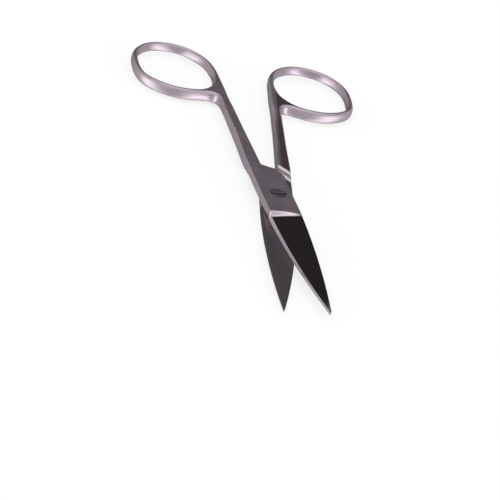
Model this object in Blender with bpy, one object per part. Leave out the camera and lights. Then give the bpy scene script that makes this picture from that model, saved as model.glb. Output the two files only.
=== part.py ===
"""Small all-steel scissors with two finger rings, lying on a flat face with the blades a little open.

Two equal forged halves cross on one slotted screw. Each half is drawn closed, as the upper half: tip
towards -Y, ring towards +Y on the -X side, and height 0 at the plane between the halves. The lower
half is the same forging turned over about Y. Lengths are in millimetres until a mesh is made.
"""

import math

import bmesh
import bpy
import numpy as np
from mathutils import Matrix

MM = 0.001

# Driving dimensions of one half.
TIP_REACH = 54.3
TIP_BLUNT = 0.25
LAP_THICKNESS = 2.25
LAP_GAP = 0.3
MIDDLE_HEIGHT = LAP_THICKNESS + LAP_GAP / 2
SHANK_PAST_MIDDLE = 0.66

# The blade: half widths beside the pivot, how its two edges curve in, and its hollow grind.
CUTTING_SIDE = 5.0
CUTTING_CURVE_START = 6.0
CUTTING_CURVE_POWER = 1.7
SPINE_SIDE = 4.05
SPINE_CURVE_POWER = 2.05
GRIND_START = 9.3
GRIND_RUN = 1.1
GROUND_EDGE_SHARE = 0.52
TIP_THICKNESS_SHARE = 0.45
BEVEL_SLOPE = 0.35
KEEN_ROUND = 0.03

# The ring's bar at the ring's foot and at its top, and the shares of it that its corners take.
RING_FOOT = 55.0
RING_TOP = 84.0
BAR_HALF_HEIGHT = (1.7, 1.4)
BAR_HALF_WIDTH = (1.1, 0.8)
BAR_ROUND_WIDTH_SHARE = 0.92
BAR_ROUND_HEIGHT_SHARE = 0.94

# How the halves meet.
OPEN_ANGLE = math.radians(12.58)
SCREW_HEAD_RADIUS = 2.2
SCREW_BODY_RADIUS = 1.5
SCREW_HEAD_DEPTH = 1.0
SCREW_CLEARANCE = 0.3
SCREW_SEAT_GAP = 0.15
SCREW_CHAMFER = 0.1
SLOT_WIDTH = 0.7
SLOT_DEPTH = 0.5

# Fineness of the meshes.
CORNER_STEPS = 2
FLAT_STEPS = 5
BLADE_STEPS = 14
RING_STEPS = 44
ROUND_STEPS = 40

# Corner radii. Where the shank leaves the ring, its sides are rounded this deep over these shares.
SLIGHT_ROUND = 0.15
SHANK_ROUND = 0.3
MOUTH_ROUND = 1.6
MOUTH_CORNERS = (0.14, 0.2)

# The centre line of the ring's bar, counter-clockwise from above, starting beside the shank.
RING_LINE = [
    (-1.15, 69.5),
    (-2.6, 76.9),
    (-8.7, 83.0),
    (-17.6, 82.9),
    (-23.6, 77.1),
    (-25.3, 69.5),
    (-24.4, 61.4),
    (-17.6, 56.1),
    (-9.2, 55.5),
    (-3.8, 59.2),
    (-1.7, 64.2),
]
MOUTH_START = 0.765
MOUTH_END = 0.965

# The two long edges of the forging from the ring down to the shoulder, and on round the lap.
OUTER_FLARE = [(-6.3, 54.7), (-4.8, 53.9), (-4.15, 52.0), (-4.0, 48.0)]
INNER_FLARE = [(-0.5, 62.5), (-0.8, 58.5), (-1.05, 54.5), (-1.2, 50.0)]
OUTER_FACE_FALL = (40.0, 54.0)
INNER_FACE_FALL = (47.0, 54.0)
SHANK_ROWS = [
    ((-4.2, 38.0), (-1.2, 40.0)),
    ((-4.45, 28.0), (-1.2, 30.0)),
    ((-4.7, 20.0), (-1.2, 23.0)),
]
SHOULDER_LEDGE = [
    (((-4.75, 16.1), (-1.2, 19.4)), 0.0),
    (((-4.78, 15.1), (-1.2, 18.4)), 0.2),
    (((-4.84, 12.4), (-1.2, 16.2)), 0.25),
    (((-4.85, 12.0), (-1.2, 15.7)), 0.65),
    (((-4.86, 11.7), (-1.2, 15.4)), 1.0),
]
LAP_ROWS = [
    ((-4.88, 11.2), (-1.1, 14.8)),
    ((-4.9, 10.2), (1.5, 13.6)),
    ((-4.92, 9.4), (2.6, 13.4)),
    ((-4.94, 8.4), (3.9, 11.0)),
    ((-4.95, 6.4), (4.05, 8.2)),
    ((-4.98, 3.0), (4.05, 3.0)),
    ((-5.0, -3.0), (4.03, -3.0)),
]


def within(share):
    return min(max(share, 0.0), 1.0)


def ease(share):
    share = within(share)
    return share * share * (3 - 2 * share)


def between(start, end, share):
    return start + (end - start) * share


def share_of(span, value):
    return within((value - span[0]) / (span[1] - span[0]))


def smooth_curve(points, closed, steps=24):
    """A Catmull-Rom curve through the points."""
    count = len(points)
    knots = [np.array(point, float) for point in points]
    if closed:
        knots = [knots[-1], *knots, knots[0], knots[1]]
        spans = count
    else:
        knots = [2 * knots[0] - knots[1], *knots, 2 * knots[-1] - knots[-2]]
        spans = count - 1
    curve = []
    for span in range(spans):
        before, start, end, after = knots[span : span + 4]
        for step in range(steps):
            t = step / steps
            linear = (end - before) * t
            square = (2 * before - 5 * start + 4 * end - after) * t**2
            cube = (3 * start - before - 3 * end + after) * t**3
            curve.append((2 * start + linear + square + cube) / 2)
    curve.append(curve[0] if closed else knots[-2])
    return np.array(curve)


def along(curve, share):
    """The point and the unit direction at a share of the curve's length."""
    spans = np.diff(curve, axis=0)
    reached = np.concatenate([[0], np.cumsum(np.hypot(spans[:, 0], spans[:, 1]))])
    place = share % 1.0 * reached[-1]
    point = np.array([np.interp(place, reached, curve[:, axis]) for axis in (0, 1)])
    span = spans[min(int(np.searchsorted(reached, place, "right")) - 1, len(spans) - 1)]
    return point, span / np.hypot(*span)


def cutting_edge_x(y):
    return -CUTTING_SIDE * (1 - share_of((CUTTING_CURVE_START, TIP_REACH), -y) ** CUTTING_CURVE_POWER)


def spine_x(y):
    return SPINE_SIDE * (1 - share_of((0.0, TIP_REACH), -y) ** SPINE_CURVE_POWER)


def section(width, left_round, right_round):
    """Where the columns of a section lie across it, and how far each drops at the rounded sides."""
    places = []
    drops = []
    for step in range(CORNER_STEPS + 1):
        turn = math.pi / 2 * step / CORNER_STEPS
        places.append(left_round[0] * (1 - math.cos(turn)))
        drops.append(left_round[1] * (1 - math.sin(turn)))
    flat = width - left_round[0] - right_round[0]
    for step in range(1, FLAT_STEPS):
        places.append(left_round[0] + flat * step / FLAT_STEPS)
        drops.append(0.0)
    for step in reversed(range(CORNER_STEPS + 1)):
        turn = math.pi / 2 * step / CORNER_STEPS
        places.append(width - right_round[0] * (1 - math.cos(turn)))
        drops.append(right_round[1] * (1 - math.sin(turn)))
    return np.array(places) / width, np.array(drops)


def mouth_section(depth):
    """The columns of a section across the flare, as wide as the ring's mouth, and its rounded sides."""
    left_width, right_width = MOUTH_CORNERS
    return section(1.0, (left_width, depth), (right_width, depth))


def bar_size(y):
    """Half the height and half the width of the ring's bar, which thins towards the ring's top."""
    share = share_of((RING_FOOT, RING_TOP), y)
    return between(*BAR_HALF_HEIGHT, share), between(*BAR_HALF_WIDTH, share)


def shank_faces(y):
    """Heights of the shank's outer and inner faces, which run into the ring's bar."""
    bar, _ = bar_size(y)
    outer = between(MIDDLE_HEIGHT, bar, ease(share_of(OUTER_FACE_FALL, y)))
    inner = between(-SHANK_PAST_MIDDLE, -bar, ease(share_of(INNER_FACE_FALL, y)))
    return outer, inner


def blade_faces(y, across):
    """Heights of the blade's outer and inner faces, across from the cutting edge to the spine."""
    inner = LAP_GAP / 2
    taper = between(1.0, TIP_THICKNESS_SHARE, share_of((GRIND_START, TIP_REACH), -y))
    ground = LAP_THICKNESS * taper * between(GROUND_EDGE_SHARE, 1.0, across)
    return inner + between(LAP_THICKNESS, ground, ground_in(y)), inner


def ground_in(y):
    """0 where the blade is still as thick as the lap, and 1 past the step where its grind starts."""
    return ease((-y - GRIND_START) / GRIND_RUN)


class Half:
    """Collects the closed skin of one forging."""

    def __init__(self):
        self.points = []
        self.faces = []

    def point(self, x, y, z):
        self.points.append((x, y, z))
        return len(self.points) - 1

    def strip(self, first, second):
        """Quads between two rows of point numbers."""
        for k in range(len(first) - 1):
            self.faces.append((first[k], first[k + 1], second[k + 1], second[k]))

    def ring(self):
        """The ring's bar, with its side left open where the shank grows out of it."""
        curve = smooth_curve(RING_LINE, closed=True)
        mouth_share, mouth_drop = mouth_section(MOUTH_ROUND)
        mouth = [between(MOUTH_START, MOUTH_END, share) for share in mouth_share]
        free_steps = RING_STEPS - len(mouth)
        free = [MOUTH_END + (1 + MOUTH_START - MOUTH_END) * k / free_steps for k in range(1, free_steps)]
        loops = []
        for number, share in enumerate(mouth + free):
            centre, direction = along(curve, share)
            half_height, half_width = bar_size(centre[1])
            outward = np.array([direction[1], -direction[0]])
            rounding = (BAR_ROUND_WIDTH_SHARE * half_width, BAR_ROUND_HEIGHT_SHARE * half_height)
            columns, drops = section(2 * half_width, rounding, rounding)
            open_side = number < len(mouth)
            drop_share = mouth_drop[number] / MOUTH_ROUND if open_side else 1.0
            top = []
            bottom = []
            for column, drop in zip(columns, drops):
                place = centre + outward * half_width * (2 * column - 1)
                if column > 0.5:
                    drop *= drop_share
                top.append(self.point(*place, half_height - drop))
                bottom.append(self.point(*place, drop - half_height))
            loops.append((top, bottom))
        for number, (top, bottom) in enumerate(loops):
            next_top, next_bottom = loops[(number + 1) % len(loops)]
            self.strip(top, next_top)
            self.strip(next_bottom, bottom)
            self.strip([bottom[0], top[0]], [next_bottom[0], next_top[0]])
            if number >= len(mouth) - 1:
                self.strip([top[-1], bottom[-1]], [next_top[-1], next_bottom[-1]])
        row_top = [top[-1] for top, _ in loops[: len(mouth)]]
        row_bottom = [bottom[-1] for _, bottom in loops[: len(mouth)]]
        return row_top, row_bottom

    def flare_row(self, places, passed):
        """One curved section between the ring and the shank, at its share of the flare's length."""
        _, drops = mouth_section(between(MOUTH_ROUND, SHANK_ROUND, ease(passed)))
        top = []
        bottom = []
        for place, drop in zip(places, drops):
            outer, inner = shank_faces(place[1])
            top.append(self.point(*place, outer - drop))
            bottom.append(self.point(*place, inner + drop))
        return top, bottom

    def row(self, left, right, left_round, right_round, faces):
        """One straight section of the shank or the lap, from its outer edge to its inner edge."""
        left = np.array(left)
        right = np.array(right)
        columns, drops = section(np.hypot(*(right - left)), left_round, right_round)
        top = []
        bottom = []
        for column, drop in zip(columns, drops):
            place = left + (right - left) * column
            outer, inner = faces(place[1])
            top.append(self.point(*place, outer - drop))
            bottom.append(self.point(*place, inner + drop))
        return top, bottom

    def join(self, above, below):
        """Closes the four sides between two neighbouring sections."""
        self.strip(above[0], below[0])
        self.strip(below[1], above[1])
        self.strip([above[1][0], above[0][0]], [below[1][0], below[0][0]])
        self.strip([above[0][-1], above[1][-1]], [below[0][-1], below[1][-1]])


def build_half():
    """The skin of one forging, as points and faces."""
    half = Half()
    last = half.ring()
    ring_row = np.array([half.points[number][:2] for number in last[0]])

    # The flare runs from the ring's curved mouth to a straight section across the shank.
    columns, _ = mouth_section(MOUTH_ROUND)
    end_row = np.array(OUTER_FLARE[-1]) + np.outer(columns, np.subtract(INNER_FLARE[-1], OUTER_FLARE[-1]))
    for number, (left, right) in enumerate(zip(OUTER_FLARE, INNER_FLARE)):
        passed = (number + 1) / len(OUTER_FLARE)
        ruled = ring_row * (1 - passed) + end_row * passed
        left_shift = np.outer(1 - columns, np.array(left) - ruled[0])
        right_shift = np.outer(columns, np.array(right) - ruled[-1])
        section_row = half.flare_row(ruled + left_shift + right_shift, passed)
        half.join(last, section_row)
        last = section_row

    shank_corner = (SHANK_ROUND, SHANK_ROUND)
    for left, right in SHANK_ROWS:
        section_row = half.row(left, right, shank_corner, shank_corner, shank_faces)
        half.join(last, section_row)
        last = section_row

    # The shoulder drops by a ledge and then a short wall to the lap's inner face.
    lap_corner = (SLIGHT_ROUND, SLIGHT_ROUND)
    for (left, right), dropped in SHOULDER_LEDGE:
        faces = level_faces(between(-SHANK_PAST_MIDDLE, LAP_GAP / 2, dropped))
        section_row = half.row(left, right, lap_corner, lap_corner, faces)
        half.join(last, section_row)
        last = section_row

    for left, right in LAP_ROWS:
        section_row = half.row(left, right, lap_corner, lap_corner, level_faces(LAP_GAP / 2))
        half.join(last, section_row)
        last = section_row

    for section_row in blade_rows(half):
        half.join(last, section_row)
        last = section_row
    half.faces.append(tuple(last[0] + last[1][::-1]))
    return half.points, half.faces


def level_faces(inner):
    """Faces that stay at one height, as a function of y."""
    return lambda y: (MIDDLE_HEIGHT, inner)


def blade_places():
    """Where the blade's sections lie: close together over the grind's step, and again near the tip."""
    step_rows = [-GRIND_START - GRIND_RUN * share for share in (0.0, 0.25, 0.5, 0.75, 1.0)]
    step_end = GRIND_START + GRIND_RUN
    turns = [math.pi / 2 * k / BLADE_STEPS for k in range(1, BLADE_STEPS + 1)]
    return step_rows + [-between(step_end, TIP_REACH - TIP_BLUNT, math.sin(turn)) for turn in turns]


def blade_rows(half):
    """The blade's sections, from the lap to the blunt tip."""
    for y in blade_places():
        left = cutting_edge_x(y)
        right = spine_x(y)
        width = right - left
        outer_edge, inner = blade_faces(y, 0.0)
        bevel = min(BEVEL_SLOPE * (outer_edge - inner) * ground_in(y), 0.4 * width)
        corner = min(SLIGHT_ROUND, 0.2 * width)
        keen = min(between(SLIGHT_ROUND, KEEN_ROUND, ground_in(y)), 0.2 * width)
        columns, drops = section(width - bevel, (corner, corner), (corner, corner))
        top = []
        for column, drop in zip(columns, drops):
            x = left + bevel + (width - bevel) * column
            outer, _ = blade_faces(y, column)
            top.append(half.point(x, y, outer - drop))
        columns, drops = section(width, (keen, keen), (corner, corner))
        bottom = []
        for column, drop in zip(columns, drops):
            bottom.append(half.point(left + width * column, y, inner + drop))
        yield top, bottom


def place_half(turned_over):
    """Moves a closed half, drawn as the upper one, to where it lies."""
    lift = Matrix.Translation((0, 0, MIDDLE_HEIGHT))
    if turned_over:
        return lift @ Matrix.Rotation(-OPEN_ANGLE / 2, 4, "Z") @ Matrix.Rotation(math.pi, 4, "Y")
    return lift @ Matrix.Rotation(OPEN_ANGLE / 2, 4, "Z")


def new_object(name, points, faces, transform=None):
    mesh = bpy.data.meshes.new(name)
    skin = bmesh.new()
    corners = [skin.verts.new(point) for point in points]
    for face in faces:
        skin.faces.new([corners[number] for number in face])
    bmesh.ops.recalc_face_normals(skin, faces=skin.faces)
    if transform is not None:
        skin.transform(transform)
    skin.transform(Matrix.Scale(MM, 4))
    skin.to_mesh(mesh)
    skin.free()
    obj = bpy.data.objects.new(name, mesh)
    bpy.context.scene.collection.objects.link(obj)
    mesh.shade_smooth()
    mesh.set_sharp_from_angle(angle=math.radians(30))
    return obj


def turned(name, profile):
    """A solid turned about Z from a profile of radii and heights, from its lower to its upper centre."""
    points = []
    faces = []
    for radius, height in profile:
        for step in range(ROUND_STEPS):
            turn = 2 * math.pi * step / ROUND_STEPS
            points.append((radius * math.cos(turn), radius * math.sin(turn), height))
    for level in range(len(profile) - 1):
        for step in range(ROUND_STEPS):
            here = level * ROUND_STEPS
            after = (step + 1) % ROUND_STEPS
            faces.append((here + step, here + after, here + ROUND_STEPS + after, here + ROUND_STEPS + step))
    faces.append(tuple(range(ROUND_STEPS))[::-1])
    faces.append(tuple(range((len(profile) - 1) * ROUND_STEPS, len(profile) * ROUND_STEPS)))
    return new_object(name, points, faces)


def cut(target, cutter):
    cutter.hide_render = True
    cutter.display_type = "WIRE"
    modifier = target.modifiers.new(f"cut {cutter.name}", "BOOLEAN")
    modifier.operation = "DIFFERENCE"
    modifier.solver = "EXACT"
    modifier.object = cutter


def pivot_screw():
    """A flush slotted screw, whose end is ground level with the lower half's outer face."""
    top = 2 * MIDDLE_HEIGHT
    head_base = top - SCREW_HEAD_DEPTH
    cone_height = SCREW_HEAD_RADIUS - SCREW_BODY_RADIUS
    profile = [
        (SCREW_BODY_RADIUS, 0.0),
        (SCREW_BODY_RADIUS, head_base + SCREW_SEAT_GAP - cone_height),
        (SCREW_HEAD_RADIUS, head_base + SCREW_SEAT_GAP),
        (SCREW_HEAD_RADIUS, top - SCREW_CHAMFER),
        (SCREW_HEAD_RADIUS - SCREW_CHAMFER, top),
    ]
    screw = turned("pivot_screw", profile)
    reach = 2 * SCREW_HEAD_RADIUS
    half_slot = SLOT_WIDTH / 2
    low = top - SLOT_DEPTH
    corners = [(x, y, z) for z in (low, top + 1) for x, y in box_corners(reach, half_slot)]
    faces = [(0, 3, 2, 1), (4, 5, 6, 7), (0, 1, 5, 4), (1, 2, 6, 5), (2, 3, 7, 6), (3, 0, 4, 7)]
    cut(screw, new_object("slot_cutter", corners, faces, Matrix.Rotation(OPEN_ANGLE / 2, 4, "Z")))
    return screw


def box_corners(half_x, half_y):
    return [(-half_x, -half_y), (half_x, -half_y), (half_x, half_y), (-half_x, half_y)]


def screw_hole(name, countersunk):
    """The hole for the screw: stepped for its head in the upper half, plain in the lower half."""
    top = 2 * MIDDLE_HEIGHT
    body = SCREW_BODY_RADIUS + SCREW_CLEARANCE
    if not countersunk:
        return turned(name, [(body, -1.0), (body, MIDDLE_HEIGHT)])
    head = SCREW_HEAD_RADIUS + SCREW_CLEARANCE
    seat = top - SCREW_HEAD_DEPTH
    return turned(name, [(body, MIDDLE_HEIGHT), (body, seat - head + body), (head, seat), (head, top + 1)])


def steel(name, colour, roughness):
    material = bpy.data.materials.new(name)
    material.use_nodes = True
    shader = material.node_tree.nodes["Principled BSDF"]
    shader.inputs["Base Color"].default_value = (*colour, 1)
    shader.inputs["Metallic"].default_value = 1.0
    shader.inputs["Roughness"].default_value = roughness
    return material


def main():
    for obj in list(bpy.data.objects):
        bpy.data.objects.remove(obj)

    points, faces = build_half()
    upper = new_object("upper_half", points, faces, place_half(turned_over=False))
    lower = new_object("lower_half", points, faces, place_half(turned_over=True))
    screw = pivot_screw()
    cut(upper, screw_hole("upper_hole_cutter", countersunk=True))
    cut(lower, screw_hole("lower_hole_cutter", countersunk=False))

    upper.data.materials.append(steel("satin steel, upper half", (0.55, 0.51, 0.54), 0.3))
    lower.data.materials.append(steel("satin steel, lower half", (0.53, 0.49, 0.52), 0.32))
    screw.data.materials.append(steel("dull screw steel", (0.40, 0.36, 0.39), 0.4))


main()
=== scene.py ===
"""The looks of small all-steel scissors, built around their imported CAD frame.

Each half is one forging. It is drawn here once in its own frame, in millimetres, as the upper half with
the blades closed: tip towards -Y, ring towards +Y on the -X side, and height 0 at the plane between the
halves. Left is -X and right is +X, so the cutting edge is on the left and the spine on the right. The lower
half is the same forging turned over about Y.
"""

import math

import bmesh
import bpy
import numpy as np
from mathutils import Matrix, Vector


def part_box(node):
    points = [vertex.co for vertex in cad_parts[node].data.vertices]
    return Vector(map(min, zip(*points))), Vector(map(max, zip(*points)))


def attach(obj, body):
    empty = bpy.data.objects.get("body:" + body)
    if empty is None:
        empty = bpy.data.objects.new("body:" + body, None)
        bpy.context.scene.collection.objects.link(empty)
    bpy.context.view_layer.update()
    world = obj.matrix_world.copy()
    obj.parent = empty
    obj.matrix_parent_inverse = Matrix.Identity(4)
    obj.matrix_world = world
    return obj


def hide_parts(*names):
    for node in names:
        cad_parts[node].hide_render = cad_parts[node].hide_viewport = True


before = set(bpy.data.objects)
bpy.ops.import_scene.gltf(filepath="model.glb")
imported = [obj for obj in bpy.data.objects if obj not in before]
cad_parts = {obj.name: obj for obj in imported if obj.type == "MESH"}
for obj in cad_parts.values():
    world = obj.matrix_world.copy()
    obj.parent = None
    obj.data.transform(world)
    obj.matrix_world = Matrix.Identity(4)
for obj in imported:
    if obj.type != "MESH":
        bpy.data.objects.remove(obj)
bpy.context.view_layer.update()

MM = 0.001

# The pivot screw runs the whole height, and the halves meet half way up it.
TOP_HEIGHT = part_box("pivot_screw")[1].z / MM
MIDDLE_HEIGHT = TOP_HEIGHT / 2
OPEN_ANGLE = math.radians(12.58)

# The lap and the shank, across their thickness. The laps lie closer together here than the CAD solids do.
LAP_GAP = 0.12
SHANK_PAST_MIDDLE = 0.66

# The blade: its two outlines, the bowed step where its grind starts, and its sections.
TIP_REACH = 54.3
TIP_BLUNT = 0.45
CUTTING_SIDE = 5.0
CUTTING_CURVE_START = 6.0
CUTTING_CURVE_POWER = 1.9
SPINE_SIDE = 4.05
SPINE_CURVE_POWER = 2.15
GRIND_START = 9.3
GRIND_RUN = 1.1
GRIND_BOW = 0.35
GRIND_END = GRIND_START + GRIND_BOW + GRIND_RUN
GROUND_EDGE_SHARE = 0.52
OUTER_HOLLOW = 0.1
INNER_HOLLOW = 0.06
TIP_THICKNESS_SHARE = 0.45
BEVEL_SLOPE = 0.35
MOST_BEVEL_SHARE = 0.4
MOST_CORNER_SHARE = 0.2

# The ring's bar, from its foot to its top.
RING_FOOT = 55.0
RING_TOP = 84.0
BAR_HALF_HEIGHT = (1.7, 1.4)
BAR_HALF_WIDTH = (1.1, 0.8)
BAR_ROUND_WIDTH_SHARE = 0.88
BAR_ROUND_HEIGHT_SHARE = 0.94

# Rounded edges. The shank's inner face is rounder on the right. Up the half, the rounding of each side grows
# to the shank's and then to the ring's, over stretches of their own.
KEEN_ROUND = 0.02
SLIGHT_ROUND = 0.12
SLIGHT_CORNERS = ((SLIGHT_ROUND, SLIGHT_ROUND), (SLIGHT_ROUND, SLIGHT_ROUND))
SHANK_ROUND = 0.42
INNER_SHANK_ROUND = 0.75
SHANK_RISE = (19.0, 34.0)
LEFT_RING_RISE = (42.0, 53.5)
RIGHT_RING_RISE = (47.0, 57.0)

# The screw and its hole.
SCREW_HEAD_RADIUS = 2.2
SCREW_BODY_RADIUS = 1.5
SCREW_HEAD_DEPTH = 1.0
SCREW_HEAD_EDGE = 0.1
SCREW_END_EDGE = 0.08
SCREW_END_RISE = 0.01
SCREW_SUNK = 0.1
SCREW_FIT = 0.06
SLOT_WIDTH = 0.7
SLOT_DEPTH = 0.5
SLOT_EDGE = 0.04

# Fineness of the meshes.
CURVE_STEPS = 48
RING_EVENING = 160
OUTLINE_EVENING = 16
CORNER_STEPS = 6
FLAT_STEPS = 30
RING_STEPS = 190
FLARE_STEPS = 36
SPAN_STEPS = 8
LAP_END_STEPS = 6
GRIND_STEPS = 16
BLADE_STEPS = 90
ROUND_STEPS = 96
# How far the web runs up into the two narrow gaps between the ring's hole and the flared edges.
LEFT_CUSP = 6
RIGHT_CUSP = 13

# The centre line of the ring's bar, counter-clockwise from above, starting beside the shank. The web meets
# the ring between the two shares of its length.
RING_LINE = [
    (-1.15, 69.5),
    (-2.6, 76.9),
    (-8.7, 83.0),
    (-17.6, 82.9),
    (-23.6, 77.1),
    (-25.3, 69.5),
    (-24.4, 61.4),
    (-17.6, 56.1),
    (-9.2, 55.5),
    (-3.8, 59.2),
    (-1.7, 64.2),
]
MOUTH_START = 0.765
MOUTH_END = 0.965

# The flared edges, from the ring down to the shank. Each curve is steered by a place on the ring a few steps
# before its start, and by a point past its end.
LEFT_FLARE = [(-6.0, 54.9), (-4.3, 54.3), (-3.65, 52.4), (-3.75, 48.5)]
RIGHT_FLARE = [(-0.25, 62.5), (-0.25, 58.5), (-0.5, 54.5), (-0.85, 50.0)]
LEFT_FLARE_PAST_END = (-3.9, 44.0)
RIGHT_FLARE_PAST_END = (-1.1, 46.0)
FLARE_LEAD = 8

# Where the faces change height between the shank and the ring, and the left and right ends of the sections
# further down. Each one of the ledge also has the share by which the inner face has reached the lap's.
OUTER_FACE_FALL = (36.0, 56.0)
INNER_FACE_FALL = (43.0, 55.0)
SHANK_MIDDLE = -2.6
SHANK_ROWS = [
    ((-4.05, 38.0), (-1.2, 40.0)),
    ((-4.35, 28.0), (-1.2, 30.0)),
    ((-4.65, 20.0), (-1.2, 23.0)),
]
SHOULDER_LEDGE = [
    (((-4.75, 16.8), (-1.2, 19.9)), 0.0),
    (((-4.78, 15.1), (-1.2, 18.2)), 0.46),
    (((-4.84, 13.7), (-1.2, 17.0)), 0.54),
    (((-4.86, 11.9), (-1.2, 15.3)), 1.0),
]
LAP_ROWS = [
    ((-4.88, 11.2), (-1.1, 14.8)),
    ((-4.9, 10.2), (1.5, 13.6)),
    ((-4.92, 9.4), (2.6, 13.4)),
    ((-4.94, 8.4), (3.95, 11.0)),
    ((-4.94, 7.4), (4.35, 9.2)),
    ((-4.95, 6.6), (4.45, 8.1)),
    ((-4.95, 6.4), (4.1, 7.7)),
    ((-4.96, 5.4), (4.05, 6.6)),
    ((-4.98, 3.0), (4.05, 3.0)),
    ((-5.0, -3.0), (4.03, -3.0)),
]

# The forging's finishes, some with painted shade or a painted highlight in their colour, and the attribute
# that holds each point's place in the forging's own frame.
SATIN, LAP, GROUND, STEP, BEVEL, INNER, SPINE, UNDER, SHOULDER = range(9)
OWN_PLACE = "own_place"

# Waves to the millimetre of the steel's faint clouds and broad waves, where the shank's darker stripe starts,
# and how much the roughness changes each way.
CLOUD_WAVES = (0.22, 0.22, 0.22)
BROAD_WAVES = (0.35, 0.35, 0.35)
DARKENING_START = -1.5
ROUGHNESS_CHANGE = 0.08

# The studio, in degrees as seen from the scissors: bearings count from +Y towards +X, and heights from level.
# Each light is whole within its inner angle and gone beyond its outer one. A wall's light also fades out
# upwards, between the two heights of its top.
LIGHT_BASE = 0.86
WALLS = [
    {"bearing": 132, "inner": 3, "outer": 31, "top": (5, 34), "strength": 2.3},
    {"bearing": -109, "inner": 3, "outer": 31, "top": (5, 34), "strength": 2.3},
]
DARK_WALL = {"bearing": 8, "inner": 12, "outer": 44, "top": (40, 62), "strength": 0.72}
OVERHEAD = {"bearing": 190, "height": 84, "inner": 16, "outer": 44, "strength": 0.75}
FLOOR_DROP = 0.02
FLOOR_REACH = 3000.0

# The camera: its place as seen from the scissors, its roll and lens, and how far the pivot falls right of the
# picture's middle and above it, in shares of the picture's width.
CAMERA_BEARING = 197.27
CAMERA_HEIGHT = 27.87
CAMERA_DISTANCE = 0.5859
CAMERA_ROLL = math.radians(17.8)
CAMERA_LENS = 156.98
PIVOT_RIGHT = 0.0522
PIVOT_UP = 0.0988


def within(share):
    return min(max(share, 0.0), 1.0)


def ease(share):
    share = within(share)
    return share * share * (3 - 2 * share)


def between(start, end, share):
    return start + (end - start) * share


def share_of(span, value):
    return within((value - span[0]) / (span[1] - span[0]))


def smooth_curve(points, closed, steps=CURVE_STEPS):
    """A Catmull-Rom curve through the points, of any number of dimensions."""
    knots = [np.array(point, float) for point in points]
    if closed:
        spans = len(points)
        knots = [knots[-1], *knots, knots[0], knots[1]]
    else:
        spans = len(points) - 1
        knots = [2 * knots[0] - knots[1], *knots, 2 * knots[-1] - knots[-2]]
    curve = []
    for span in range(spans):
        before, start, end, after = knots[span : span + 4]
        for step in range(steps):
            t = step / steps
            linear = (end - before) * t
            square = (2 * before - 5 * start + 4 * end - after) * t**2
            cube = (3 * start - before - 3 * end + after) * t**3
            curve.append((2 * start + linear + square + cube) / 2)
    curve.append(curve[0] if closed else knots[-2])
    return np.array(curve)


def evened(curve, times):
    """A closed curve with its curvature evened out, so that reflections run along it without a kink."""
    points = curve[:-1].copy()
    for _ in range(times):
        points = points / 2 + (np.roll(points, 1, 0) + np.roll(points, -1, 0)) / 4
    return np.vstack([points, points[:1]])


def shares_along(curve):
    """The share of a curve's length at which each of its points lies."""
    reached = np.concatenate([[0], np.cumsum(np.hypot(*np.diff(curve, axis=0).T))])
    return reached / reached[-1]


def spread(curve, count):
    """A number of points spread evenly along a curve."""
    places = np.linspace(0, 1, count)
    return np.column_stack([np.interp(places, shares_along(curve), curve[:, axis]) for axis in (0, 1)])


def right_of(path):
    """Unit directions that point to the right of a path's travel."""
    direction = np.gradient(path, axis=0)
    direction /= np.hypot(*direction.T)[:, None]
    return np.column_stack([direction[:, 1], -direction[:, 0]])


def ring_curve():
    return evened(smooth_curve(RING_LINE, closed=True), RING_EVENING)


def along(curve, share):
    """The point and the unit direction at a share of a closed curve's length."""
    share = share % 1.0
    ends = shares_along(curve)
    middles = (ends[1:] + ends[:-1]) / 2
    spans = np.diff(curve, axis=0)
    point = np.array([np.interp(share, ends, curve[:, axis]) for axis in (0, 1)])
    direction = np.array([np.interp(share, middles, spans[:, axis]) for axis in (0, 1)])
    return point, direction / np.hypot(*direction)


def rounded(rows, times=3):
    """Rows of numbers with every turn between them rounded off, by cutting the corners a few times."""
    rows = np.array(rows, float)
    for _ in range(times):
        cut = np.empty((2 * (len(rows) - 1), rows.shape[1]))
        cut[0::2] = 0.75 * rows[:-1] + 0.25 * rows[1:]
        cut[1::2] = 0.25 * rows[:-1] + 0.75 * rows[1:]
        rows = np.vstack([rows[:1], cut, rows[-1:]])
    return rows


def cutting_edge_x(y):
    return -CUTTING_SIDE * (1 - share_of((CUTTING_CURVE_START, TIP_REACH), -y) ** CUTTING_CURVE_POWER)


def spine_x(y):
    return SPINE_SIDE * (1 - share_of((0.0, TIP_REACH), -y) ** SPINE_CURVE_POWER)


def corner(width, height):
    """A rounded edge from its side up to its face: how far in and how far below the face each step lies."""
    turns = [math.pi / 2 * step / CORNER_STEPS for step in range(CORNER_STEPS + 1)]
    return [(width * (1 - math.cos(turn)), height * (1 - math.sin(turn))) for turn in turns]


def section(width, left_round, right_round):
    """The columns of a section: the share of its width where each lies, and its drop from the face."""
    columns = corner(*left_round)
    flat = width - left_round[0] - right_round[0]
    columns += [(left_round[0] + flat * step / FLAT_STEPS, 0.0) for step in range(1, FLAT_STEPS)]
    columns += [(width - inward, drop) for inward, drop in reversed(corner(*right_round))]
    return [(place / width, drop) for place, drop in columns]


def bar_size(y):
    """Half the height and half the width of the ring's bar."""
    share = share_of((RING_FOOT, RING_TOP), y)
    return between(*BAR_HALF_HEIGHT, share), between(*BAR_HALF_WIDTH, share)


def shank_faces(y):
    """Heights of the shank's outer and inner faces, which turn into the bar's."""
    bar, _ = bar_size(y)
    outer = between(MIDDLE_HEIGHT, bar, ease(share_of(OUTER_FACE_FALL, y)))
    inner = between(-SHANK_PAST_MIDDLE, -bar, ease(share_of(INNER_FACE_FALL, y)))
    return outer, inner


def ground_in(y, across):
    """0 where the blade is as thick as the lap, and 1 past the bowed step where its grind starts."""
    start = GRIND_START + GRIND_BOW * (1 - math.sin(math.pi * across))
    return ease((-y - start) / GRIND_RUN)


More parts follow.
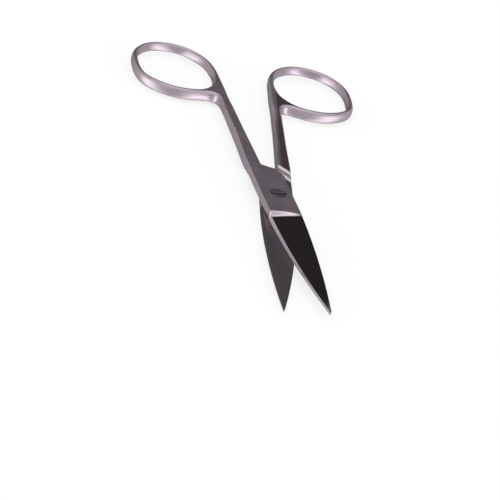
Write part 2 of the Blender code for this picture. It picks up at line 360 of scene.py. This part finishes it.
def outer_blade_face(y, across):
    """Height of the blade's hollow outer face, across from the cutting edge to the spine."""
    taper = between(1.0, TIP_THICKNESS_SHARE, share_of((GRIND_START, TIP_REACH), -y))
    thickness = (MIDDLE_HEIGHT - LAP_GAP / 2) * taper
    ground = LAP_GAP / 2 + thickness * between(GROUND_EDGE_SHARE, 1.0, across)
    ground -= OUTER_HOLLOW * taper * math.sin(math.pi * across)
    return between(MIDDLE_HEIGHT, ground, ground_in(y, across))


class Skin:
    """The closed skin of one forging. A section of it is an upper and a lower row of point numbers."""

    def __init__(self):
        self.points = []
        self.faces = []
        self.finishes = []

    def point(self, x, y, z):
        self.points.append((x, y, z))
        return len(self.points) - 1

    def strip(self, first, second, finish):
        """A row of quads between two rows of points."""
        for k in range(len(first) - 1):
            self.faces.append((first[k], first[k + 1], second[k + 1], second[k]))
            self.finishes.append(finish)

    def join(self, last, here, outer_finish, inner_finish, left_finish, right_finish):
        """Closes the four sides between two sections. The rounded edges have the finish of their side."""
        left = slice(0, CORNER_STEPS + 1)
        flat = slice(CORNER_STEPS, -CORNER_STEPS)
        right = slice(-CORNER_STEPS - 1, None)
        for part, finish in ((left, left_finish), (flat, outer_finish), (right, right_finish)):
            self.strip(last[0][part], here[0][part], finish)
        for part, finish in ((left, left_finish), (flat, inner_finish), (right, right_finish)):
            self.strip(here[1][part], last[1][part], finish)
        self.strip([last[1][0], last[0][0]], [here[1][0], here[0][0]], left_finish)
        self.strip([last[0][-1], last[1][-1]], [here[0][-1], here[1][-1]], right_finish)

    def section_between(self, left, right, faces_of, outer_round, inner_round):
        """A straight section from a place on the left edge to one on the right."""
        left = np.array(left)
        right = np.array(right)
        rows = []
        for face, (roundings, sign) in enumerate(((outer_round, -1), (inner_round, 1))):
            row = []
            for column, drop in section(np.hypot(*(right - left)), *roundings):
                place = left + (right - left) * column
                row.append(self.point(*place, faces_of(place[1])[face] + sign * drop))
            rows.append(row)
        return rows


def edge_round(y, shank_round, ring_rise):
    """Width and height of a rounded edge: slight at the shoulder, more on the shank, full on the ring."""
    half_height, half_width = bar_size(y)
    shank = between(SLIGHT_ROUND, shank_round, ease(share_of(SHANK_RISE, y)))
    share = ease(share_of(ring_rise, y))
    width = between(shank, BAR_ROUND_WIDTH_SHARE * half_width, share)
    height = between(shank, BAR_ROUND_HEIGHT_SHARE * half_height, share)
    return width, height


def build_border(skin, path, inward):
    """The rounded edges along an outline: the outer face's and the inner face's corner at each place."""
    corners = ([], [])
    for face, right_round, sign in ((0, SHANK_ROUND, -1), (1, INNER_SHANK_ROUND, 1)):
        for start, side in zip(path, inward):
            if start[0] > SHANK_MIDDLE:
                size = edge_round(start[1], right_round, RIGHT_RING_RISE)
            else:
                size = edge_round(start[1], SHANK_ROUND, LEFT_RING_RISE)
            steps = []
            for reach, drop in corner(*size):
                place = start + side * reach
                steps.append(skin.point(*place, shank_faces(place[1])[face] + sign * drop))
            corners[face].append(steps)
    for number in range(len(path) - 1):
        join_border(skin, corners, number, number + 1)
    return corners


def join_border(skin, corners, first, second):
    """The rounded edges, and the wall between them, from one place along an outline to another."""
    above, below = corners
    skin.strip(above[first], above[second], SATIN)
    skin.strip(below[second], below[first], SATIN)
    skin.strip((above[first][0], below[first][0]), (above[second][0], below[second][0]), SATIN)


def ring_edges():
    """The ring's outer edge, the whole edge of its hole, and the outward direction along the hole."""
    curve = ring_curve()
    mouth_steps = FLAT_STEPS - 2 + LEFT_CUSP + RIGHT_CUSP
    free = [between(MOUTH_END, 1 + MOUTH_START, step / RING_STEPS) for step in range(RING_STEPS + 1)]
    mouth = [between(MOUTH_START, MOUTH_END, step / mouth_steps) for step in range(1, mouth_steps)]
    stations = [along(curve, share) for share in free + mouth]
    centres = np.array([centre for centre, _ in stations])
    outward = np.array([(direction[1], -direction[0]) for _, direction in stations])
    half_widths = np.array([bar_size(y)[1] for y in centres[:, 1]])[:, None]
    outer_edge = (centres + outward * half_widths)[: len(free)]
    return outer_edge, centres - outward * half_widths, outward


def flare_edge(ring_edge, flare, past_end, steps):
    """The smooth edge that leaves the ring and runs down to the shank, with its first point on the ring."""
    curve = smooth_curve([*ring_edge, *flare, past_end], closed=False)
    return spread(curve[CURVE_STEPS:-CURVE_STEPS], steps + 1)


def half_outline(outer_edge):
    """The outline from the shank's right edge, round the ring, to the shank's left edge."""
    right_start = (outer_edge[FLARE_LEAD], outer_edge[0])
    left_start = (outer_edge[-1 - FLARE_LEAD], outer_edge[-1])
    right = flare_edge(right_start, RIGHT_FLARE, RIGHT_FLARE_PAST_END, FLARE_STEPS + RIGHT_CUSP)
    left = flare_edge(left_start, LEFT_FLARE, LEFT_FLARE_PAST_END, FLARE_STEPS + LEFT_CUSP)
    outline = np.vstack([right[:0:-1], outer_edge, left[1:]])
    for _ in range(OUTLINE_EVENING):
        outline[1:-1] = outline[1:-1] / 2 + (outline[2:] + outline[:-2]) / 4
    return outline


def web_end(skin, rim, left, right, face):
    """The row of points across the top of the shank, spaced like those of the web's rim."""
    start = np.array(skin.points[left][:2])
    reach = np.array(skin.points[right][:2]) - start
    inside = []
    for share in shares_along(np.array([skin.points[number][:2] for number in rim]))[1:-1]:
        place = start + reach * share
        inside.append(skin.point(*place, shank_faces(place[1])[face]))
    return [left, *inside, right]


def build_web(skin, rim, left, right, end, face, finish):
    """The flat face between the hole and the two flared edges, as a patch blended from its four sides."""
    places = np.array([point[:2] for point in skin.points])
    across = shares_along(places[rim])[None, :, None]
    down = np.linspace(0, 1, len(left))[:, None, None]
    grid = places[rim] * (1 - down) + places[end] * down
    grid += places[left][:, None] * (1 - across) + places[right][:, None] * across
    grid -= (places[rim[0]] * (1 - down) + places[end[0]] * down) * (1 - across)
    grid -= (places[rim[-1]] * (1 - down) + places[end[-1]] * down) * across
    rows = [rim]
    for number in range(1, len(left) - 1):
        inside = [skin.point(*place, shank_faces(place[1])[face]) for place in grid[number, 1:-1]]
        rows.append([left[number], *inside, right[number]])
    rows.append(end)
    for here, after in zip(rows, rows[1:]):
        skin.strip(here, after, finish)


def build_ring(skin):
    """The ring, the web and the top of the shank. It returns the section that the shank goes on from."""
    outer_edge, hole_edge, outward = ring_edges()
    outline = half_outline(outer_edge)
    borders = build_border(skin, outline, -right_of(outline))
    holes = build_border(skin, hole_edge, outward)
    join_border(skin, holes, -1, 0)
    first = FLARE_STEPS + RIGHT_CUSP
    last = first + RING_STEPS
    sides = []
    for face, finish in ((0, LAP), (1, UNDER)):
        border = borders[face]
        crest = [steps[-1] for steps in border]
        hole_crest = [steps[-1] for steps in holes[face]]
        skin.strip(crest[first : last + 1], hole_crest[: RING_STEPS + 1], SATIN)
        left = crest[last:]
        right = crest[first::-1]
        hole_left = hole_crest[RING_STEPS:]
        hole_right = [hole_crest[0], *hole_crest[:0:-1]]
        skin.strip(left[: LEFT_CUSP + 1], hole_left[: LEFT_CUSP + 1], finish)
        skin.strip(right[: RIGHT_CUSP + 1], hole_right[: RIGHT_CUSP + 1], finish)
        mouth = hole_left[LEFT_CUSP : len(hole_left) + 1 - RIGHT_CUSP]
        rim = [left[LEFT_CUSP], *mouth, right[RIGHT_CUSP]]
        end = web_end(skin, rim, left[-1], right[-1], face)
        build_web(skin, rim, left[LEFT_CUSP:], right[RIGHT_CUSP:], end, face, finish)
        sides.append([*border[-1][:-1], *end, *border[0][-2::-1]])
    return sides


def build_shank(skin, last):
    """The straight shank, down to the shoulder."""
    flare_ends = (LEFT_FLARE[-1], RIGHT_FLARE[-1])
    ledge_start = SHOULDER_LEDGE[0][0]
    ends = [(*left, *right) for left, right in (flare_ends, *SHANK_ROWS, ledge_start)]
    for row in smooth_curve(ends, closed=False, steps=SPAN_STEPS)[1:]:
        left_round = edge_round(row[1], SHANK_ROUND, LEFT_RING_RISE)
        outer_round = (left_round, edge_round(row[3], SHANK_ROUND, RIGHT_RING_RISE))
        inner_round = (left_round, edge_round(row[3], INNER_SHANK_ROUND, RIGHT_RING_RISE))
        here = skin.section_between(row[:2], row[2:], shank_faces, outer_round, inner_round)
        skin.join(last, here, LAP, UNDER, SATIN, SATIN)
        last = here
    return last


def flat_section(skin, left, right, inner_height):
    """A straight section with level faces and slightly rounded edges."""
    faces = (MIDDLE_HEIGHT, inner_height)
    return skin.section_between(left, right, lambda _: faces, SLIGHT_CORNERS, SLIGHT_CORNERS)


def build_shoulder(skin, last):
    """The inner face's drop from the shank's height to the lap's, by a ledge and a short wall."""
    for (start, start_drop), (end, end_drop) in zip(SHOULDER_LEDGE, SHOULDER_LEDGE[1:]):
        start = np.array(start)
        end = np.array(end)
        for step in range(1, SPAN_STEPS + 1):
            share = step / SPAN_STEPS
            left, right = start + (end - start) * share
            dropped = between(start_drop, end_drop, ease(share))
            inner_height = between(-SHANK_PAST_MIDDLE, LAP_GAP / 2, dropped)
            here = flat_section(skin, left, right, inner_height)
            skin.join(last, here, LAP, SHOULDER, SATIN, SATIN)
            last = here
    return last


def build_lap(skin, last):
    """The flat lap round the screw, from the shoulder's rounded corner to where the blade starts."""
    ledge_end = SHOULDER_LEDGE[-1][0]
    ends = [(*left, *right) for left, right in (ledge_end, *LAP_ROWS)]
    for row in rounded(ends)[1:]:
        here = flat_section(skin, row[:2], row[2:], LAP_GAP / 2)
        skin.join(last, here, LAP, INNER, SATIN, SATIN)
        last = here
    return last


def blade_places():
    """Where the blade's sections lie: close together over the grind's step, and again near the tip."""
    lap_end = -LAP_ROWS[-1][0][1]
    lap_shares = [step / LAP_END_STEPS for step in range(1, LAP_END_STEPS + 1)]
    grind_shares = [step / GRIND_STEPS for step in range(1, GRIND_STEPS + 1)]
    blade_shares = [math.sin(math.pi / 2 * step / BLADE_STEPS) for step in range(1, BLADE_STEPS + 1)]
    places = [between(lap_end, GRIND_START, share) for share in lap_shares]
    places += [between(GRIND_START, GRIND_END, share) for share in grind_shares]
    places += [between(GRIND_END, TIP_REACH - TIP_BLUNT, share) for share in blade_shares]
    return [-place for place in places]


def blade_section(skin, y):
    """One section of the blade, with its cutting bevel on the left of the outer face."""
    left = cutting_edge_x(y)
    width = spine_x(y) - left
    cut_in = ground_in(y, 0.0)
    edge_height = outer_blade_face(y, 0.0) - LAP_GAP / 2
    bevel = min(BEVEL_SLOPE * edge_height * cut_in, MOST_BEVEL_SHARE * width)
    spine_corner = min(SLIGHT_ROUND, MOST_CORNER_SHARE * width)
    keen_corner = min(between(SLIGHT_ROUND, KEEN_ROUND, cut_in), MOST_CORNER_SHARE * width)
    roundings = ((keen_corner, keen_corner), (spine_corner, spine_corner))
    outer = []
    for column, drop in section(width - bevel, *roundings):
        x = left + bevel + (width - bevel) * column
        outer.append(skin.point(x, y, outer_blade_face(y, column) - drop))
    hollow = INNER_HOLLOW * share_of((GRIND_START, 2 * GRIND_START), -y) * min(width / CUTTING_SIDE, 1.0)
    inner = []
    for column, drop in section(width, *roundings):
        height = LAP_GAP / 2 + hollow * math.sin(math.pi * column)
        inner.append(skin.point(left + width * column, y, height + drop))
    return outer, inner


def build_blade(skin, last):
    """The blade: a step, then a hollow-ground outer face, a cutting bevel and a plain inner face."""
    for y in blade_places():
        if -y <= GRIND_START:
            outer_finish = LAP
        elif -y <= GRIND_END:
            outer_finish = STEP
        else:
            outer_finish = GROUND
        cutting_finish = BEVEL if -y > GRIND_END else SATIN
        here = blade_section(skin, y)
        skin.join(last, here, outer_finish, INNER, cutting_finish, SPINE)
        last = here
    skin.faces.append((*last[0], *reversed(last[1])))
    skin.finishes.append(GROUND)


def build_half():
    """The skin of one forging, as points, faces and the finish of each face."""
    skin = Skin()
    last = build_ring(skin)
    last = build_shank(skin, last)
    last = build_shoulder(skin, last)
    last = build_lap(skin, last)
    build_blade(skin, last)
    return skin.points, skin.faces, skin.finishes


def new_object(name, points, faces, finishes=None):
    """A mesh object from points in millimetres. Its faces are turned to point outward."""
    mesh = bpy.data.meshes.new(name)
    maker = bmesh.new()
    corners = [maker.verts.new(Vector(point) * MM) for point in points]
    for number, face in enumerate(faces):
        made = maker.faces.new([corners[corner_number] for corner_number in face])
        made.material_index = finishes[number] if finishes else 0
    bmesh.ops.recalc_face_normals(maker, faces=maker.faces)
    maker.to_mesh(mesh)
    maker.free()
    obj = bpy.data.objects.new(name, mesh)
    bpy.context.scene.collection.objects.link(obj)
    return obj


def turned(name, profile):
    """A solid turned about Z from a profile of radii and heights, from its lower to its upper centre."""
    points = []
    faces = []
    for radius, height in profile:
        for step in range(ROUND_STEPS):
            turn = 2 * math.pi * step / ROUND_STEPS
            points.append((radius * math.cos(turn), radius * math.sin(turn), height))
    rounds = [range(start, start + ROUND_STEPS) for start in range(0, len(points), ROUND_STEPS)]
    for lower, upper in zip(rounds, rounds[1:]):
        for step in range(ROUND_STEPS):
            after = (step + 1) % ROUND_STEPS
            faces.append((lower[step], lower[after], upper[after], upper[step]))
    faces.append(tuple(reversed(rounds[0])))
    faces.append(tuple(rounds[-1]))
    return new_object(name, points, faces)


def cut_away(target, cutter):
    """Cuts the cutter's shape out of the target for good, and removes the cutter."""
    modifier = target.modifiers.new("cut", "BOOLEAN")
    modifier.operation = "DIFFERENCE"
    modifier.solver = "EXACT"
    modifier.object = cutter
    bpy.context.view_layer.objects.active = target
    with bpy.context.temp_override(object=target, active_object=target):
        bpy.ops.object.modifier_apply(modifier=modifier.name)
    bpy.data.objects.remove(cutter)


def keep_own_places(obj):
    """Stores each point's place in the piece's own frame, which the finishes' grain follows."""
    places = np.empty(len(obj.data.vertices) * 3, np.float32)
    obj.data.vertices.foreach_get("co", places)
    stored = obj.data.attributes.new(OWN_PLACE, "FLOAT_VECTOR", "POINT")
    stored.data.foreach_set("vector", places)


def sharpen(obj, degrees=28):
    """Marks the edges where the surface turns sharply, so that flat faces shade flat."""
    obj.data.shade_smooth()
    obj.data.set_sharp_from_angle(angle=math.radians(degrees))
    modifier = obj.modifiers.new("flat faces stay flat", "WEIGHTED_NORMAL")
    modifier.keep_sharp = True
    modifier.weight = 60


def screw_hole(countersunk):
    """The hole for the screw, in a half's own frame, reaching past both faces of the lap."""
    start = -1.0
    end = MIDDLE_HEIGHT + 1.0
    body = SCREW_BODY_RADIUS + SCREW_FIT
    if not countersunk:
        return turned("hole", [(body, start), (body, end)])
    head = SCREW_HEAD_RADIUS + SCREW_FIT
    seat = MIDDLE_HEIGHT - SCREW_HEAD_DEPTH
    return turned("hole", [(body, start), (body, seat - head + body), (head, seat), (head, end)])


def place_half(turned_over):
    """Where a closed half, drawn as the upper one, lies in the frame."""
    lift = Matrix.Translation((0, 0, MIDDLE_HEIGHT * MM))
    if turned_over:
        return lift @ Matrix.Rotation(-OPEN_ANGLE / 2, 4, "Z") @ Matrix.Rotation(math.pi, 4, "Y")
    return lift @ Matrix.Rotation(OPEN_ANGLE / 2, 4, "Z")


def make_half(name, node, body, shape, turned_over, finishes):
    """One forging, with its screw hole, in place of its CAD node."""
    obj = new_object(name, *shape)
    cut_away(obj, screw_hole(countersunk=not turned_over))
    keep_own_places(obj)
    obj.data.transform(place_half(turned_over))
    sharpen(obj)
    for finish in finishes:
        obj.data.materials.append(finish)
    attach(obj, body)
    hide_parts(node)


def screw_slot(top):
    """The block that cuts the slot, from its floor to well above the head."""
    reach = 2 * SCREW_HEAD_RADIUS
    points = []
    for z in (top - SLOT_DEPTH, top + 1.0):
        for x, y in ((-1, -1), (1, -1), (1, 1), (-1, 1)):
            points.append((x * reach, y * SLOT_WIDTH / 2, z))
    faces = [(0, 3, 2, 1), (4, 5, 6, 7), (0, 1, 5, 4), (1, 2, 6, 5), (2, 3, 7, 6), (3, 0, 4, 7)]
    return new_object("slot", points, faces)


def make_screw(finish):
    """The slotted screw: a slightly sunk head with a soft rim, and an end level with the lower face."""
    top = TOP_HEIGHT - SCREW_SUNK
    base = TOP_HEIGHT - SCREW_HEAD_DEPTH
    cone = SCREW_HEAD_RADIUS - SCREW_BODY_RADIUS
    profile = [
        (SCREW_BODY_RADIUS - SCREW_END_EDGE, SCREW_END_RISE),
        (SCREW_BODY_RADIUS, SCREW_END_RISE + SCREW_END_EDGE),
        (SCREW_BODY_RADIUS, base - cone),
        (SCREW_HEAD_RADIUS, base),
        (SCREW_HEAD_RADIUS, top - 1.2 * SCREW_HEAD_EDGE),
        (SCREW_HEAD_RADIUS - 0.3 * SCREW_HEAD_EDGE, top - 0.5 * SCREW_HEAD_EDGE),
        (SCREW_HEAD_RADIUS - SCREW_HEAD_EDGE, top),
    ]
    screw = turned("slotted_screw", profile)
    cut_away(screw, screw_slot(top))
    keep_own_places(screw)
    screw.data.transform(Matrix.Rotation(OPEN_ANGLE / 2, 4, "Z"))
    bevel = screw.modifiers.new("slot edges", "BEVEL")
    bevel.width = SLOT_EDGE * MM
    bevel.segments = 2
    bevel.limit_method = "ANGLE"
    bevel.angle_limit = math.radians(50)
    sharpen(screw)
    screw.data.materials.append(finish)
    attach(screw, "lower")
    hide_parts("pivot_screw")


class Nodes:
    """A helper that adds shader nodes to a tree and links them. An input named i0 is the node's first."""

    def __init__(self, tree):
        self.tree = tree
        self.tree.nodes.clear()

    def add(self, kind, settings=None, **inputs):
        node = self.tree.nodes.new(kind)
        for name, value in (settings or {}).items():
            setattr(node, name, value)
        for name, value in inputs.items():
            self.put(node, name.replace("_", " "), value)
        return node

    def put(self, node, name, value):
        numbered = name[0] == "i" and name[1:].isdigit()
        socket = node.inputs[int(name[1:])] if numbered else node.inputs[name]
        if isinstance(value, bpy.types.NodeSocket):
            self.tree.links.new(value, socket)
        else:
            socket.default_value = value

    def sum(self, first, second):
        return self.add("ShaderNodeMath", {"operation": "ADD"}, i0=first, i1=second).outputs[0]

    def product(self, first, second):
        return self.add("ShaderNodeMath", {"operation": "MULTIPLY"}, i0=first, i1=second).outputs[0]

    def span(self, value, low, high):
        """A value of 0 to 1 turned into one between low and high."""
        node = self.add("ShaderNodeMapRange", None, Value=value, To_Min=low, To_Max=high)
        return node.outputs["Result"]

    def vector(self, operation, first, second=(0, 0, 0)):
        node = self.add("ShaderNodeVectorMath", {"operation": operation}, i0=first, i1=second)
        return node.outputs["Value" if operation == "DOT_PRODUCT" else "Vector"]

    def eased(self, value, start, end):
        """0 where the value is at start and 1 where it is at end, with a gradual change between."""
        node = self.add("ShaderNodeMapRange", {"interpolation_type": "SMOOTHSTEP"}, Value=value)
        self.put(node, "From Min", start)
        self.put(node, "From Max", end)
        return node.outputs["Result"]

    def facing(self, direction, towards, inner, outer):
        """1 within the inner angle of a direction, in degrees, and 0 beyond the outer one."""
        dot = self.vector("DOT_PRODUCT", direction, tuple(towards))
        return self.eased(dot, math.cos(math.radians(outer)), math.cos(math.radians(inner)))

    def own_place(self):
        return self.add("ShaderNodeAttribute", {"attribute_name": OWN_PLACE}).outputs["Vector"]

    def darkened_middle(self, colour, shade):
        """The colour, darkened gradually from near the shank's right edge to its middle."""
        x = self.add("ShaderNodeSeparateXYZ", None, Vector=self.own_place()).outputs["X"]
        middle = self.eased(x, DARKENING_START * MM, SHANK_MIDDLE * MM)
        tint = self.add("ShaderNodeMix", {"data_type": "RGBA"}, Factor=middle)
        tint.inputs[6].default_value = (1, 1, 1, 1)
        tint.inputs[7].default_value = (*shade, 1)
        return self.vector("MULTIPLY", colour, tint.outputs[2])

    def grain(self, stretch, detail=3.0, rough=0.6):
        """Noise in the piece's own frame, with its number of waves to the millimetre along each axis."""
        scale = tuple(waves / MM for waves in stretch)
        mapped = self.add("ShaderNodeMapping", None, Vector=self.own_place(), Scale=scale)
        noise = self.add("ShaderNodeTexNoise", None, Vector=mapped.outputs["Vector"], Scale=1.0)
        self.put(noise, "Detail", detail)
        self.put(noise, "Roughness", rough)
        return noise.outputs["Fac"]

    def shades(self, mixed, colour, change):
        """The colour, made darker and lighter by a share of it where the mixed value is low and high."""
        dark = tuple(channel * (1 - change) for channel in colour)
        light = tuple(min(channel * (1 + change), 1.0) for channel in colour)
        ramp = self.add("ShaderNodeValToRGB", None, Fac=mixed)
        for element, position, shade in zip(ramp.color_ramp.elements, (0.3, 0.7), (dark, light)):
            element.position = position
            element.color = (*shade, 1)
        return ramp.outputs["Color"]


def steel(name, colour, roughness, lines, line_depth, colour_change=0.1, waviness=0.004, darkening=None):
    """Steel with fine finishing lines, faint cloudiness and a slightly wavy surface.

    lines holds the number of waves to the millimetre along X, Y and Z, and line_depth and waviness are
    heights in millimetres. Given dulled, the shank's face darkens by it towards the middle.
    """
    material = bpy.data.materials.new(name)
    material.use_nodes = True
    nodes = Nodes(material.node_tree)
    fine = nodes.grain(lines, detail=4.0, rough=0.7)
    cloud = nodes.grain(CLOUD_WAVES, detail=2.0)
    waves = nodes.grain(BROAD_WAVES, detail=1.0, rough=0.3)
    mixed = nodes.sum(nodes.product(fine, 0.6), nodes.product(cloud, 0.4))
    base = nodes.shades(mixed, colour, colour_change)
    if darkening:
        base = nodes.darkened_middle(base, darkening)
    rough = nodes.span(mixed, roughness - ROUGHNESS_CHANGE, roughness + ROUGHNESS_CHANGE)
    broad = nodes.add("ShaderNodeBump", None, Height=waves, Distance=waviness * MM, Strength=1.0)
    bump = nodes.add("ShaderNodeBump", None, Height=fine, Distance=line_depth * MM, Strength=1.0)
    nodes.put(bump, "Normal", broad.outputs["Normal"])
    shader = nodes.add("ShaderNodeBsdfPrincipled", None, Metallic=1.0, Roughness=rough)
    nodes.put(shader, "Base Color", base)
    nodes.put(shader, "Normal", bump.outputs["Normal"])
    output = nodes.add("ShaderNodeOutputMaterial")
    nodes.put(output, "Surface", shader.outputs["BSDF"])
    return material


def half_finishes():
    """The finishes of a forging, in the order of the numbers SATIN to SHOULDER."""
    tint = (0.48, 0.405, 0.46)
    # The hollow-ground face's steel is made far darker than the rest: a painted dark reflection, on top of
    # its real reflection of the dark wall.
    mirror = (0.13, 0.105, 0.125)
    inner = (0.3, 0.25, 0.29)
    return [
        steel("satin forged steel", tint, 0.38, (1.2, 1.2, 1.2), 0.0006),
        steel("cross-brushed steel", tint, 0.36, (0.12, 3.0, 3.0), 0.0022, colour_change=0.16),
        steel("hollow-ground steel with painted dark reflection", mirror, 0.09, (0.25, 2.5, 0.25), 0.0002, waviness=0.001),
        steel("polished step", (0.64, 0.555, 0.605), 0.26, (0.3, 2.0, 0.3), 0.0004),
        steel("ground cutting bevel", (0.56, 0.51, 0.55), 0.26, (0.3, 4.0, 0.3), 0.0006),
        steel("brushed inner face", inner, 0.3, (2.5, 0.1, 2.5), 0.0012, colour_change=0.14),
        # The spine's steel is made far darker than the rest: painted shade along the spine.
        steel("rough spine with painted shade", (0.09, 0.075, 0.085), 0.42, (2.5, 0.3, 2.5), 0.001),
        steel("shank inner face", tint, 0.38, (1.2, 1.2, 1.2), 0.0006, darkening=(0.42, 0.33, 0.31)),
        # The shoulder's steel is made far brighter than the rest: a painted highlight, on top of its real
        # reflection of the lamp.
        steel("shoulder steel with painted highlight", (0.9, 0.785, 0.855), 0.33, (0.6, 0.6, 0.6), 0.0004),
    ]


def screw_finish():
    colour = (0.21, 0.17, 0.2)
    return steel("dull screw steel", colour, 0.42, (3.0, 0.4, 3.0), 0.002, colour_change=0.25)


def direction_to(bearing, height):
    bearing = math.radians(bearing)
    height = math.radians(height)
    level = math.cos(height)
    return Vector((math.sin(bearing) * level, math.cos(bearing) * level, math.sin(height)))


def wall_light(nodes, looking, wall):
    """The light that a wall adds, or takes away, in the direction of looking."""
    level = nodes.vector("NORMALIZE", nodes.vector("MULTIPLY", looking, (1, 1, 0)))
    light = nodes.facing(level, direction_to(wall["bearing"], 0), wall["inner"], wall["outer"])
    start, end = wall["top"]
    above = nodes.facing(looking, (0, 0, 1), 90 - end, 90 - start)
    light = nodes.product(light, nodes.span(above, 1.0, 0.0))
    return nodes.product(light, wall["strength"])


def studio_light():
    """Soft walls, bright on both sides of the camera and dark behind the scissors, under a soft lamp."""
    world = bpy.data.worlds.new("studio")
    world.use_nodes = True
    nodes = Nodes(world.node_tree)
    looking = nodes.add("ShaderNodeTexCoord").outputs["Generated"]
    light = nodes.sum(LIGHT_BASE, nodes.product(wall_light(nodes, looking, DARK_WALL), -1.0))
    for wall in WALLS:
        light = nodes.sum(light, wall_light(nodes, looking, wall))
    overhead = direction_to(OVERHEAD["bearing"], OVERHEAD["height"])
    lamp = nodes.facing(looking, overhead, OVERHEAD["inner"], OVERHEAD["outer"])
    light = nodes.sum(light, nodes.product(lamp, OVERHEAD["strength"]))
    studio = nodes.add("ShaderNodeBackground", None, Strength=light)
    plain = nodes.add("ShaderNodeBackground", None, Strength=1.0)
    nodes.put(plain, "Color", (1, 1, 1, 1))
    seen = nodes.add("ShaderNodeLightPath").outputs["Is Camera Ray"]
    mixed = nodes.add("ShaderNodeMixShader", None, i0=seen, i1=studio.outputs[0], i2=plain.outputs[0])
    output = nodes.add("ShaderNodeOutputWorld")
    nodes.put(output, "Surface", mixed.outputs[0])
    bpy.context.scene.world = world


def pale_floor():
    """A plain, self-lit white floor just under the scissors."""
    corners = ((-1, -1), (1, -1), (1, 1), (-1, 1))
    points = [(x * FLOOR_REACH, y * FLOOR_REACH, -FLOOR_DROP) for x, y in corners]
    floor = new_object("floor", points, [(0, 1, 2, 3)])
    material = bpy.data.materials.new("pale floor")
    material.use_nodes = True
    nodes = Nodes(material.node_tree)
    matt = nodes.add("ShaderNodeBsdfDiffuse", None, Color=(0.3, 0.3, 0.3, 1))
    seen = nodes.add("ShaderNodeLightPath").outputs["Is Camera Ray"]
    glow = nodes.add("ShaderNodeEmission", None, Strength=nodes.span(seen, 0.15, 0.75))
    both = nodes.add("ShaderNodeAddShader", None, i0=matt.outputs[0], i1=glow.outputs[0])
    output = nodes.add("ShaderNodeOutputMaterial")
    nodes.put(output, "Surface", both.outputs[0])
    floor.data.materials.append(material)
    floor.visible_glossy = False


def photo_camera():
    """The camera at the photograph's angle, turned so that the pivot falls where the photograph has it."""
    camera = bpy.data.objects.new("camera", bpy.data.cameras.new("camera"))
    bpy.context.scene.collection.objects.link(camera)
    camera.data.lens = CAMERA_LENS
    camera.data.clip_start = 0.05
    camera.data.clip_end = 20
    back = direction_to(CAMERA_BEARING, CAMERA_HEIGHT)
    right = Vector((0, 0, 1)).cross(back).normalized()
    up = back.cross(right)
    rolled_right = math.cos(CAMERA_ROLL) * right + math.sin(CAMERA_ROLL) * up
    rolled_up = -math.sin(CAMERA_ROLL) * right + math.cos(CAMERA_ROLL) * up
    level = Matrix((rolled_right, rolled_up, back)).transposed()
    widths = camera.data.lens / camera.data.sensor_width
    to_pivot = Vector((PIVOT_RIGHT / widths, PIVOT_UP / widths, -1)).normalized()
    aside = Vector((0, 0, -1)).rotation_difference(to_pivot).to_matrix()
    turn = level @ aside.transposed()
    pivot = Vector((0, 0, MIDDLE_HEIGHT * MM))
    camera.matrix_world = Matrix.Translation(pivot + back * CAMERA_DISTANCE) @ turn.to_4x4()
    bpy.context.scene.camera = camera


def main():
    shape = build_half()
    finishes = half_finishes()
    make_half("upper_forging", "upper_half", "upper", shape, False, finishes)
    make_half("lower_forging", "lower_half", "lower", shape, True, finishes)
    make_screw(screw_finish())
    studio_light()
    pale_floor()
    photo_camera()
    bpy.context.scene.view_settings.view_transform = "Standard"


main()
